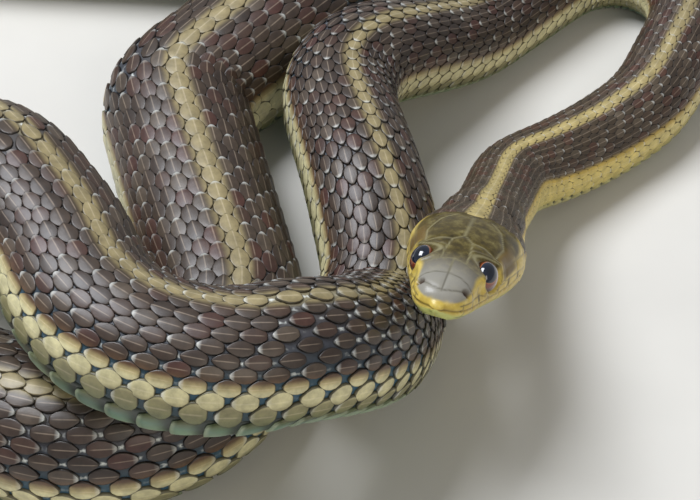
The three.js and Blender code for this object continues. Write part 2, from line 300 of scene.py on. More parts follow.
# Head plates: seams as lines of (back, out from the middle) on top and (back, up) on the sides.
plates = {
    "top": [[(0.9, 0), (1.25, 1.2), (1.9, 2.3)],
            [(1.0, 0), (3.6, 0)],
            [(3.6, 0), (3.5, 1.4), (3.2, 2.9), (3.0, 3.6)],
            [(3.6, 0), (6.5, 0)],
            [(6.5, 0), (6.1, 1.5), (5.9, 2.6), (6.3, 4.4)],
            [(6.1, 1.5), (8.4, 1.45), (10.9, 1.2)],
            [(10.9, 1.2), (12.2, 0)],
            [(10.9, 1.2), (11.0, 2.6), (10.6, 4.4)],
            [(12.2, 0), (18.6, 0)],
            [(11.0, 4.2), (13.5, 4.6), (16.5, 3.6), (18.6, 1.6), (18.6, 0)]],
    "side": [[(3.2, 0.75), (3.2, 2.6)], [(4.9, 0.8), (4.9, 2.9)], [(6.5, 0.5), (6.45, 3.6)],
             [(1.0, 0.6), (3.2, 0.75), (5.5, 0.75), (6.6, 0.35)],
             [(10.1, 0.5), (12.5, 0.9), (15.5, 0.9), (18.5, 0.7)],
             [(10.2, 0.9), (11.6, 1.0)], [(10.5, 1.9), (11.8, 1.9)], [(10.3, 2.9), (11.9, 2.9)],
             [(11.7, 0.8), (11.9, 3.9)], [(11.9, 2.2), (15.0, 2.4)], [(15.0, 0.9), (15.1, 4.2)],
             [(15.1, 2.4), (18.5, 2.2)], [(18.4, 0.3), (18.6, 4)],
             [(1.3, -0.2), (1.3, 0.7)], [(3.1, -0.3), (3.1, 0.75)], [(5.0, -0.35), (5.0, 0.75)],
             [(7.1, -0.35), (7.1, 0.2)], [(9.6, -0.35), (9.6, 0.3)], [(12.1, -0.35), (12.3, 0.9)],
             [(14.9, -0.2), (15.2, 0.9)], [(17.4, -0.1), (17.7, 0.8)],
             [(1.8, -1.3), (1.9, -0.3)], [(3.6, -1.5), (3.8, -0.4)], [(5.6, -1.6), (5.9, -0.4)],
             [(7.9, -1.8), (8.3, -0.5)], [(10.4, -1.9), (10.9, -0.5)], [(13.2, -2.0), (13.6, -0.4)],
             [(1.2, -1.1), (4, -1.5), (8, -1.8), (13, -2.1), (17, -2.2)]],
    "seamWidth": 0.09, "bulge": 0.07,
}


def nearest(points, lines):
    # Distance from points in a plane to the nearest of the lines.
    best = np.full(len(points), 99.0)
    for line in lines:
        for a, b in zip(line, line[1:]):
            a, b = np.array(a, float), np.array(b, float)
            t = np.clip(((points - a) @ (b - a)) / max((b - a) @ (b - a), 1e-9), 0, 1)
            best = np.minimum(best, np.linalg.norm(points - a - t[:, None] * (b - a), axis=1))
    return best


def shapeHead(b, degrees):
    # Section place of each head point with its folds, and the masks that colour it.
    x, z = sectionAt(b, degrees)
    out = sectionOut(b, degrees)
    side = np.abs(x)
    half = sizesAt(b)[0]
    steep = np.abs(((degrees + 180) % 360) - 180)
    onTop = smooth((66 - steep) / 10) * smooth((19.5 - b) / 1.5)
    onSide = smooth((steep - 50) / 12) * smooth((19.5 - b) / 1.5) * smooth((150 - steep) / 15)
    mouthLine = -head["mouthDip"] * np.sin(np.pi * np.clip(b / head["mouthEnd"], 0, 1))
    fade = smooth((head["mouthEnd"] + 0.6 - b) / 1.2)
    onMouth = np.exp(-((z - mouthLine) / 0.17) ** 2) * fade * (z < 1)
    eyeFar = np.hypot((b - head["eyeBack"]) / head["eyeRadius"], (z - head["eyeHeight"]) / head["eyeRadius"])
    eyeFar = np.where(side > 1.5, eyeFar, 9)
    nostrilUp = 0.62 * sizesAt(np.full_like(b, head["nostrilBack"]))[1]
    nostrilFar = np.hypot(b - head["nostrilBack"], z - nostrilUp) / head["nostrilRadius"]
    nostrilFar = np.where(side > 1, nostrilFar, 9)
    topSeam = nearest(np.stack([b, side], -1), plates["top"])
    sideSeam = nearest(np.stack([b, z], -1), plates["side"])
    near = np.minimum(topSeam + (1 - onTop) * 5, sideSeam + (1 - onSide) * 5)
    near = np.minimum(near, np.abs(eyeFar - 1.12) * head["eyeRadius"] + (side < 1.5) * 9)
    seam = np.exp(-(near / plates["seamWidth"]) ** 2)
    move = plates["bulge"] * (1 - np.exp(-(near / 0.3) ** 2))
    # the mouth line
    move -= 0.3 * onMouth
    # the lower jaw sits in
    move -= 0.16 * smooth((mouthLine - z) / 0.3) * smooth((head["mouthEnd"] + 3 - b) / 4) * (steep < 150)
    # the eye socket
    move -= 0.75 * smooth((1.02 - eyeFar) / 0.25)
    # the ring round the eye
    move += 0.2 * np.exp(-((eyeFar - 1.2) / 0.14) ** 2) * (z > head["eyeHeight"] - 1.2)
    # the brow
    move += 0.25 * np.exp(-((steep - 55) / 9) ** 2) * smooth((b - 4) / 3) * smooth((13 - b) / 3)
    # the hollow before the eye
    move -= 0.32 * np.exp(-((steep - 76) / 12) ** 2) * smooth((b - 2.8) / 1.5) * smooth((7 - b) / 1.5)
    # the nostril
    move -= 0.5 * smooth((1.15 - nostrilFar) / 0.5)
    masks = {
        "seam": seam,
        "crownward": smooth((62 - steep + 8 * np.sin(b * 0.9)) / 12) * smooth((z - 0.75) / 0.35),
        "nostril": smooth((1.25 - nostrilFar) / 0.6),
        "mouth": onMouth,
    }
    barAt = np.array([5.15, 7.35, 9.85, 12.45, 15.3])
    bar = np.exp(-(np.min(np.abs(b[:, None] - barAt - 0.22 * (z[:, None] - 0.2)), axis=1) / 0.16) ** 2)
    masks["bar"] = bar * smooth((z + 0.1) / 0.3) * smooth((1.25 - z) / 0.4) * (steep > 50) * (eyeFar > 1.15)
    temple = smooth((b - 10.2) / 1.5) * smooth((16.5 - b) / 3) * smooth((z - 0.6 - (b - 10) * 0.16) / 0.5)
    masks["temple"] = temple * smooth((steep - 40) / 10)
    keep = smooth((21 - b) / 2)
    return x + out[:, 0] * move * keep, z + out[:, 1] * move * keep, masks


skin = {"headRings": 168, "headSides": 192, "bodyPitch": 1.0, "capRings": 4}


def buildSkin():
    headEnd = unwrap["headEnd"]
    fine, coarse = skin["headSides"], skin["headSides"] // 3
    cap = np.linspace(0.15, 0.85, skin["capRings"])
    headPlaces = np.linspace(0, headEnd, skin["headRings"] + 1)
    bodyRings = round((body["totalLength"] - headEnd) / skin["bodyPitch"])
    bodyPlaces = np.linspace(headEnd, body["totalLength"], bodyRings + 1)[1:]
    # the snout is closed by a few small rings that round it off
    b = np.concatenate([np.zeros(skin["capRings"] * fine), np.repeat(headPlaces, fine)])
    around = np.tile(np.arange(fine) * 360 / fine, skin["capRings"] + len(headPlaces))
    shrink = np.concatenate([np.repeat(cap, fine), np.ones(len(headPlaces) * fine)])
    x, z, masks = shapeHead(b, around - valueAt(body["twist"], b))
    x, z = x * shrink, (z - 0.1) * shrink + 0.1
    depth = coat["skinDepth"] * smooth((b - 17) / 4)
    out = sectionOut(b, around)
    x, z = x - out[:, 0] * depth, z - out[:, 1] * depth
    point, back, left, up = framesAt(b)
    forward = 0.55 * np.sqrt(1 - shrink ** 2)
    headPoints = point + left * x[:, None] + up * z[:, None] - back * forward[:, None] + shift
    bodyAround = np.tile(np.arange(coarse) * 360 / coarse, len(bodyPlaces))
    bodyAt = np.repeat(bodyPlaces, coarse)
    bodyDepth = np.minimum(coat["skinDepth"], 0.05 * valueAt(body["widths"], bodyAt))
    bodyPoints = onSkin(bodyAt, bodyAround, -bodyDepth)
    places = np.concatenate([b, bodyAt])
    arounds = np.concatenate([around, bodyAround])
    points = np.concatenate([headPoints, bodyPoints])
    faces, spots, cells = [], [], []
    headCount = skin["capRings"] + len(headPlaces)
    step = 360 / fine

    def add(face, corners, cellAt):
        faces.append(face)
        spots.extend(corners)
        cells.extend([cellAt] * len(face))

    ringPlaces = np.concatenate([np.linspace(-1, -0.1, skin["capRings"]), headPlaces])
    for r in range(headCount - 1):
        low, high = ringPlaces[r], ringPlaces[r + 1]
        for i in range(fine):
            j = (i + 1) % fine
            add((r * fine + i, r * fine + j, (r + 1) * fine + j, (r + 1) * fine + i),
                [(low, i * step), (low, (i + 1) * step), (high, (i + 1) * step), (high, i * step)], 0)
    last, first = (headCount - 1) * fine, headCount * fine
    wide = 360 / coarse
    for i in range(coarse):
        j = (i + 1) % coarse
        near = [last + (3 * i + k) % fine for k in range(4)]
        add((*near, first + j, first + i),
            [(headEnd, (3 * i + k) * step) for k in range(4)]
            + [(bodyPlaces[0], (i + 1) * wide), (bodyPlaces[0], i * wide)], headEnd + 0.1)
    for r in range(len(bodyPlaces) - 1):
        low, high = bodyPlaces[r], bodyPlaces[r + 1]
        at = first + r * coarse
        for i in range(coarse):
            j = (i + 1) % coarse
            add((at + i, at + j, at + coarse + j, at + coarse + i),
                [(low, i * wide), (low, (i + 1) * wide), (high, (i + 1) * wide), (high, i * wide)],
                (low + high) / 2)
    tip, nose = len(points), len(points) + 1
    end = first + (len(bodyPlaces) - 1) * coarse
    points = np.concatenate([points, points[end:end + coarse].mean(0)[None], points[:fine].mean(0)[None]])
    total = body["totalLength"]
    for i in range(coarse):
        add((tip, end + i, end + (i + 1) % coarse),
            [(total + 0.5, (i + 0.5) * wide), (total, i * wide), (total, (i + 1) * wide)], total)
    for i in range(fine):
        add((nose, (i + 1) % fine, i), [(-1.2, (i + 0.5) * step), (-1, (i + 1) * step), (-1, i * step)], 0)
    places = np.concatenate([places, [total, 0]])
    arounds = np.concatenate([arounds, [0, 0]])
    signed = np.where(arounds > 180, arounds - 360, arounds)
    spots, cells = np.array(spots), np.array(cells)
    wrapped = spots[:, 1] - 1e-6 * (spots[:, 1] >= 360)
    attributes = {"place": places, "around": signed, "count": scaleCount(places)}
    for key, values in masks.items():
        full = np.zeros(len(points))
        full[:len(values)] = values
        attributes[key] = full
    uv = unwrapSpot(spots[:, 0], wrapped, cells)
    obj = makeMesh("skin", points, faces, attributes, {"OFBake": uv})
    # the plates of the head are one material, the stretched skin of the body another
    centre = np.array([places[f[0]] for f in faces])
    obj.data.polygons.foreach_set("material_index", (centre >= 20.5).astype(int))
    return obj


skinPiece = buildSkin()
print("skin", len(skinPiece.data.polygons), "faces")

# One keeled scale: a low dome with a ridge, on a sunk foot.
scaleShape = {
    "columns": [0, 0.08, 0.3, 0.5, 0.7, 0.92, 1],
    # from the front end to the tip
    "rows": [0, 0.07, 0.22, 0.42, 0.62, 0.8, 0.93, 1],
    "halfWidths": [0.15, 0.28, 0.44, 0.5, 0.46, 0.33, 0.17, 0.06],
    "dome": 0.1, "keel": 0.06, "rim": 0.1, "foot": 0.3,
}


def buildScale():
    # Unit size across (x) and along (y), heights in millimetres of the final scale.
    cols, v = scaleShape["columns"], np.array(scaleShape["rows"])
    steps = len(v) - 1
    halfWidth = scaleShape["halfWidths"]
    points, uv, rim = [], [], []
    for k in range(steps + 1):
        for c in cols:
            u = 2 * c - 1
            edge = 1 - abs(u) ** 3
            ends = min(1, 5 * min(v[k], 1 - v[k]) + 0.25)
            height = scaleShape["rim"] + scaleShape["dome"] * edge * ends
            height += scaleShape["keel"] * (c == 0.5) * min(1, 6 * (1 - v[k])) * min(1, 4 * v[k] + 0.1)
            points.append((u * halfWidth[k], v[k] - 0.5, height))
            uv.append((0.5 + u * halfWidth[k], v[k]))
            rim.append(1.0 if abs(u) == 1 or k in (0, steps) else 0.0)
    n = len(cols)
    faces = [(k * n + i, k * n + i + 1, (k + 1) * n + i + 1, (k + 1) * n + i)
             for k in range(steps) for i in range(n - 1)]
    ring = [k for k in range(n)] + [k * n + n - 1 for k in range(1, steps + 1)]
    ring += [steps * n + i for i in range(n - 2, -1, -1)] + [k * n for k in range(steps - 1, 0, -1)]
    foot = len(points)
    for r in ring:
        x, y, _ = points[r]
        points.append((x * 1.06, y * 1.03, -scaleShape["foot"]))
        uv.append(uv[r])
        rim.append(1.0)
    m = len(ring)
    for i in range(m):
        j = (i + 1) % m
        faces.append((ring[j], ring[i], foot + i, foot + j))
    faces.append(tuple(foot + i for i in range(m - 1, -1, -1)))
    mesh = bpy.data.meshes.new("scaleShape")
    mesh.from_pydata([tuple(p) for p in points], [], faces)
    layer = mesh.uv_layers.new(name="plate")
    for loop in mesh.loops:
        layer.data[loop.index].uv = uv[loop.vertex_index]
    mesh.attributes.new("rim", "FLOAT", "POINT").data.foreach_set("value", rim)
    mesh.polygons.foreach_set("use_smooth", [True] * len(mesh.polygons))
    mesh.update()
    obj = bpy.data.objects.new("scaleShape", mesh)
    bpy.context.scene.collection.objects.link(obj)
    return obj


def scalePoints():
    # Place and angle of every scale, row by row, neighbouring rows half a step apart.
    places, around, pitch, rows = [], [], [], []
    for spread, low, high in ((coat["rowDegrees"], coat["start"], coat["tailStart"]),
                              (coat["tailRowDegrees"], coat["tailStart"], body["totalLength"] - 1.5)):
        for row, degrees in enumerate(spread):
            gaps = [abs(degrees - spread[k]) for k in (row - 1, row + 1) if 0 <= k < len(spread)]
            own = sum(gaps) / len(gaps)
            for side in ((1, -1) if row else (1,)):
                begin = low + (1.2 if low == coat["start"] and row < 3 else 0)
                counts = np.arange(math.ceil(scaleCount(begin)), math.floor(scaleCount(high)) + 1)
                at = placeOfCount(counts + 0.5 * (row % 2))
                places.append(at)
                around.append(np.full(len(at), float(side * degrees)))
                pitch.append(np.full(len(at), own))
                rows.append(np.full(len(at), float(row)))
    return [np.concatenate(v) for v in (places, around, pitch, rows)]


def scaleCloud(name, places, around, pitch, rows):
    # A loose vertex for each scale with its turn, size and marks, ready for the tree.
    ahead, behind = onSkin(places + 0.4, around, -0.2), onSkin(places - 0.4, around, -0.2)
    lengthwise = ahead - behind
    stretch = np.linalg.norm(lengthwise, axis=1) / 0.8
    lengthwise /= np.linalg.norm(lengthwise, axis=1, keepdims=True)
    across = onSkin(places, around + pitch / 2, -0.2) - onSkin(places, around - pitch / 2, -0.2)
    width = np.linalg.norm(across, axis=1)
    across /= width[:, None]
    up = np.cross(across, lengthwise)
    up = up / np.linalg.norm(up, axis=1, keepdims=True)
    across = np.cross(lengthwise, up)
    spacing = np.interp(places, along, spacingAlong)
    # on the inside of a bend the scales crowd and ride up on each other
    length = spacing * np.clip(stretch, 0.78, 1.1) * coat["lengthShare"]
    crowd = np.clip(0.86 - stretch, 0, 0.4)
    lift = np.radians(coat["liftDegrees"] + 32 * crowd)
    tipUp = lengthwise * np.cos(lift)[:, None] + up * np.sin(lift)[:, None]
    face = up * np.cos(lift)[:, None] - lengthwise * np.sin(lift)[:, None]
    centre = onSkin(places, around, -0.2) + up * (length * np.sin(lift) * 0.35)[:, None]
    turns = [Matrix((a, b, c)).transposed().to_euler() for a, b, c in zip(across, tipUp, face)]
    thick = np.clip(width / 2.0, 0.25, 1.05)
    wide = np.array([coat["lowRowShares"].get(int(r), 1.0) for r in rows])
    size = np.stack([width * wide * coat["widthShare"] * mm, length * mm, thick * mm], -1)
    dice = np.random.default_rng(coat["seed"] + len(places))
    spot = np.concatenate([unwrapSpot(places, around % 360), np.zeros((len(places), 1))], 1)
    attributes = {"turn": np.array([tuple(t) for t in turns]), "size": size, "around": around,
                  "place": places, "pick": dice.random(len(places)), "reach": pitch * coat["widthShare"],
                  "spot": spot}
    return makeMesh(name, centre, [], attributes)


def coatTree():
    # Sets one scale on every point, turned and sized by the point's own marks.
    tree = bpy.data.node_groups.new("scaleCoat", "GeometryNodeTree")
    face = tree.interface
    face.new_socket("Points", in_out="INPUT", socket_type="NodeSocketGeometry")
    for label, kind, value in (("Scale", "NodeSocketObject", None), ("Width", "NodeSocketFloat", 1.0),
                               ("Length", "NodeSocketFloat", 1.0), ("Wobble", "NodeSocketFloat", 0.02),
                               ("Seed", "NodeSocketInt", 1), ("Finish", "NodeSocketMaterial", None)):
        socket = face.new_socket(label, in_out="INPUT", socket_type=kind)
        if value is not None:
            socket.default_value = value
    face.new_socket("Coat", in_out="OUTPUT", socket_type="NodeSocketGeometry")
    given = addNode(tree, "NodeGroupInput")
    turn = addNode(tree, "GeometryNodeInputNamedAttribute", {"data_type": "FLOAT_VECTOR"}, {"Name": "turn"})
    size = addNode(tree, "GeometryNodeInputNamedAttribute", {"data_type": "FLOAT_VECTOR"}, {"Name": "size"})
    rotation = addNode(tree, "FunctionNodeEulerToRotation", {}, {"Euler": turn.outputs["Attribute"]})
    share = addNode(tree, "ShaderNodeCombineXYZ", {}, {
        "X": given.outputs["Width"], "Y": given.outputs["Length"], "Z": 1.0})
    scaled = addNode(tree, "ShaderNodeVectorMath", {"operation": "MULTIPLY"},
                     {0: size.outputs["Attribute"], 1: share.outputs["Vector"]})
    shape = addNode(tree, "GeometryNodeObjectInfo", {}, {"Object": given.outputs["Scale"]})
    placed = addNode(tree, "GeometryNodeInstanceOnPoints", {}, {
        "Points": given.outputs["Points"], "Instance": shape.outputs["Geometry"],
        "Rotation": rotation.outputs["Rotation"], "Scale": scaled.outputs["Vector"]})
    least = addNode(tree, "ShaderNodeMath", {"operation": "MULTIPLY"}, {0: given.outputs["Wobble"], 1: -1.0})
    dice = addNode(tree, "FunctionNodeRandomValue", {"data_type": "FLOAT_VECTOR"}, {
        "Min": least.outputs["Value"], "Max": given.outputs["Wobble"], "Seed": given.outputs["Seed"]})
    wobbled = addNode(tree, "GeometryNodeRotateInstances", {}, {
        "Instances": placed.outputs["Instances"], "Rotation": dice.outputs["Value"], "Local Space": True})
    real = addNode(tree, "GeometryNodeRealizeInstances", {}, {"Geometry": wobbled.outputs["Instances"]})
    dressed = addNode(tree, "GeometryNodeSetMaterial", {}, {
        "Geometry": real.outputs["Geometry"], "Material": given.outputs["Finish"]})
    addNode(tree, "NodeGroupOutput", {}, {"Coat": dressed.outputs["Geometry"]})
    return tree


def addNode(tree, kind, settings=None, inputs=None, output=None):
    # Adds a node, sets it, and links or fills its inputs. Gives the output asked for, or else the node.
    node = tree.nodes.new(kind)
    for key, value in (settings or {}).items():
        if key != "stops":
            setattr(node, key, value)
            continue
        # stops of a colour ramp, as (position, hex or grey value)
        elements = node.color_ramp.elements
        while len(elements) < len(value):
            elements.new(0.5)
        for element, (position, colour) in zip(elements, value):
            element.position = position
            element.color = toLinear(colour) if isinstance(colour, str) else (colour, colour, colour, 1)
    for key, value in (inputs or {}).items():
        socket = node.inputs[key]
        if not isinstance(key, int):
            # nodes with a socket of each type show the one that is enabled
            socket = next((s for s in node.inputs if s.name == key and s.enabled), socket)
        if isinstance(value, bpy.types.NodeSocket):
            tree.links.new(value, socket)
        else:
            socket.default_value = value
    if output is None:
        return node
    if isinstance(output, int):
        return node.outputs[output]
    return next(s for s in node.outputs if s.name == output and s.enabled)


def toLinear(code):
    # sRGB hex to the linear colour that the shaders take.
    parts = [int(code[k:k + 2], 16) / 255 for k in (0, 2, 4)]
    return tuple(p / 12.92 if p <= 0.04045 else ((p + 0.055) / 1.055) ** 2.4 for p in parts) + (1.0,)


# Colours of the markings, by degrees from the middle of the back.
marks = {
    "scales": [(0, "988b66"), (6, "8a7c58"), (10.5, "4c402f"), (14, "453930"), (45, "3f332d"), (66, "3b2c25"),
               (75, "5f462f"), (80, "b7a878"), (84, "d3cb9f"), (97, "cbc395"), (101, "918a62"), (110, "77764e"),
               (119, "55603f"), (127, "66806c"), (145, "8fa48c"), (180, "c3cbb0")],
    "neckScales": [(0, "b3a26c"), (7, "a8965f"), (10, "51452f"), (30, "4d4230"), (60, "4a3d2a"),
                   (70, "5c4a2c"), (76, "c4a646"), (84, "d6c06a"), (100, "d4c070"), (108, "cdbb6a"),
                   (116, "c6bd7c"), (180, "c9cba2")],
    "skin": [(0, "8d8468"), (7, "7f765e"), (10, "4b4744"), (40, "3f3f45"), (66, "34404a"), (76, "2f4a58"),
             (90, "32566a"), (104, "27434f"), (114, "1e3238"), (125, "6f8a86"), (180, "8ea29a")],
    "neckStart": 55.0, "neckEnd": 95.0,    # where the neck's colours give way to the body's
}
colourMix = {"data_type": "RGBA"}
eased = {"interpolation_type": "SMOOTHSTEP"}


def stripes(tree, degrees, place, key):
    # The stripes round the body, with the yellower ones of the neck blended in towards the head.
    away = addNode(tree, "ShaderNodeMath", {"operation": "ABSOLUTE"}, {0: degrees}, 0)
    part = addNode(tree, "ShaderNodeMath", {"operation": "DIVIDE"}, {0: away, 1: 180.0}, 0)
    main, neck = [addNode(tree, "ShaderNodeValToRGB", {"stops": [(d / 180, c) for d, c in marks[name]]},
                          {"Fac": part}, "Color") for name in (key, "neckScales")]
    toBody = addNode(tree, "ShaderNodeMapRange", eased, {
        "Value": place, "From Min": marks["neckStart"], "From Max": marks["neckEnd"]}, "Result")
    return addNode(tree, "ShaderNodeMix", colourMix, {"Factor": toBody, "A": neck, "B": main}, "Result"), part


def newFinish(name):
    finish = bpy.data.materials.new(name)
    finish.use_nodes = True
    tree = finish.node_tree
    for node in list(tree.nodes):
        tree.nodes.remove(node)
    shader = addNode(tree, "ShaderNodeBsdfPrincipled")
    addNode(tree, "ShaderNodeOutputMaterial", {}, {"Surface": shader.outputs[0]})
    return finish, tree, shader


scaleFinish = {
    "roughness": 0.42, "ior": 1.55,
    "young": "2a2019", "plain": "433528", "maroon": "4c221b", "brown": "3c2f25", "bare": "5c5042",
    "tintShare": 0.6,            # how far a dark scale takes its own tint
    # the darkest colour here is painted shade round each plate's edge, the palest a painted highlight on some
    # raised tips
    "keelColour": "9c8c7a", "keelShare": 0.45, "edgeShadeColour": "14110f", "edgeShadeShare": 0.75, "tipHighlight": "dfe2dc",
    "blotchesPerMm": 0.7,
    "grain": (14.0, 1.5, 1.0), "grainScale": 1.6, "grainDepthMm": 0.06,
}


def keratinFinish():
    # Keeled horn scales: thin keratin over dark pigment, so each plate is satin with a soft sheen,
    # with a fine pale line along the ridge, painted shade round its edges and a painted highlight on some tips.
    finish, tree, shader = newFinish("keeledKeratin")
    around, place, pick, reach, rim = [addNode(tree, "ShaderNodeAttribute", {"attribute_name": name}, {}, "Fac")
                                       for name in ("around", "place", "pick", "reach", "rim")]
    plate = addNode(tree, "ShaderNodeUVMap", {"uv_map": "plate"}, {}, "UV")
    split = addNode(tree, "ShaderNodeSeparateXYZ", {}, {0: plate})
    endwise = split.outputs["Y"]
    u = addNode(tree, "ShaderNodeMath", {"operation": "SUBTRACT"}, {0: split.outputs["X"], 1: 0.5}, 0)
    degrees = addNode(tree, "ShaderNodeMath", {"operation": "MULTIPLY_ADD"}, {0: u, 1: reach, 2: around}, 0)
    colour, part = stripes(tree, degrees, place, "scales")
    # dark rows: each scale a little different, some maroon
    dark = addNode(tree, "ShaderNodeValToRGB", {
        "stops": [(7 / 180, 0), (11 / 180, 1), (68 / 180, 1), (76 / 180, 0)]}, {"Fac": part}, "Color")
    tints = [(0, scaleFinish["young"]), (0.4, scaleFinish["plain"]), (0.62, scaleFinish["maroon"]),
             (0.72, scaleFinish["brown"]), (1, scaleFinish["bare"])]
    tint = addNode(tree, "ShaderNodeValToRGB", {"stops": tints}, {"Fac": pick}, "Color")
    share = addNode(tree, "ShaderNodeMath", {"operation": "MULTIPLY"}, {0: dark, 1: scaleFinish["tintShare"]}, 0)
    colour = addNode(tree, "ShaderNodeMix", colourMix, {"Factor": share, "A": colour, "B": tint}, "Result")
    # pale line along the ridge, fading out at both ends
    away = addNode(tree, "ShaderNodeMath", {"operation": "ABSOLUTE"}, {0: u}, 0)
    line = addNode(tree, "ShaderNodeMapRange", eased, {
        "Value": away, "From Min": 0.015, "From Max": 0.05, "To Min": 1.0, "To Max": 0.0}, "Result")
    ends = addNode(tree, "ShaderNodeValToRGB", {"stops": [(0.08, 0), (0.25, 1), (0.85, 1), (0.97, 0.3)]},
                   {"Fac": endwise}, "Color")
    line = addNode(tree, "ShaderNodeMath", {"operation": "MULTIPLY"}, {0: line, 1: ends}, 0)
    line = addNode(tree, "ShaderNodeMath", {"operation": "MULTIPLY"}, {0: line, 1: scaleFinish["keelShare"]}, 0)
    colour = addNode(tree, "ShaderNodeMix", {**colourMix, "blend_type": "SCREEN"}, {
        "Factor": line, "A": colour, "B": toLinear(scaleFinish["keelColour"])}, "Result")
    # painted highlight on the raised tips of some of the plates
    tipHighlight = addNode(tree, "ShaderNodeValToRGB", {"stops": [(0.8, 0), (0.93, 0.5), (1, 0.6)]},
                   {"Fac": endwise}, "Color")
    chosen = addNode(tree, "ShaderNodeValToRGB", {"stops": [(0.3, 0), (0.8, 1)]}, {"Fac": pick}, "Color")
    tipHighlight = addNode(tree, "ShaderNodeMath", {"operation": "MULTIPLY"}, {0: tipHighlight, 1: chosen}, 0)
    colour = addNode(tree, "ShaderNodeMix", colourMix, {
        "Factor": tipHighlight, "A": colour, "B": toLinear(scaleFinish["tipHighlight"])}, "Result")
    # painted shade round each plate, where its raised edge would cast shadow on what lies below
    edge = addNode(tree, "ShaderNodeMapRange", eased, {
        "Value": rim, "From Min": 0.35, "From Max": 0.95,
        "To Min": 0.0, "To Max": scaleFinish["edgeShadeShare"]}, "Result")
    colour = addNode(tree, "ShaderNodeMix", colourMix, {
        "Factor": edge, "A": colour, "B": toLinear(scaleFinish["edgeShadeColour"])}, "Result")
    # blotchy pigment, in patches about 1.4 mm across
    where = addNode(tree, "ShaderNodeTexCoord", {}, {}, "Object")
    cloud = addNode(tree, "ShaderNodeTexNoise", {}, {
        "Vector": where, "Scale": scaleFinish["blotchesPerMm"] / mm, "Detail": 4.0, "Roughness": 0.6}, "Fac")
    shade = addNode(tree, "ShaderNodeMapRange", {}, {
        "Value": cloud, "From Min": 0.3, "From Max": 0.7, "To Min": 0.72, "To Max": 1.22}, "Result")
    grey = addNode(tree, "ShaderNodeCombineColor", {}, {"Red": shade, "Green": shade, "Blue": shade}, "Color")
    colour = addNode(tree, "ShaderNodeMix", {**colourMix, "blend_type": "MULTIPLY"}, {
        "Factor": 1.0, "A": colour, "B": grey}, "Result")
    tree.links.new(colour, shader.inputs["Base Color"])
    shader.inputs["Roughness"].default_value = scaleFinish["roughness"]
    shader.inputs["IOR"].default_value = scaleFinish["ior"]
    # fine lengthwise ridges, about nine to the millimetre on the widest scales, coarser than real to show
    stretch = addNode(tree, "ShaderNodeMapping", {}, {"Vector": plate, "Scale": scaleFinish["grain"]}, "Vector")
    grain = addNode(tree, "ShaderNodeTexNoise", {}, {
        "Vector": stretch, "Scale": scaleFinish["grainScale"], "Detail": 3.0}, "Fac")
    bump = addNode(tree, "ShaderNodeBump", {}, {
        "Height": grain, "Strength": 0.25, "Distance": scaleFinish["grainDepthMm"] * mm}, "Normal")
    tree.links.new(bump, shader.inputs["Normal"])
    return finish


skinFinish = {"fleck": "e8ece6", "fleckShare": 0.8, "rowDegrees": 11.55, "roughness": 0.5,
              "warpPerMm": 1.5, "patchesPerMm": 0.42, "wrinklesPerMm": 2.2, "wrinkleDepthMm": 0.1}


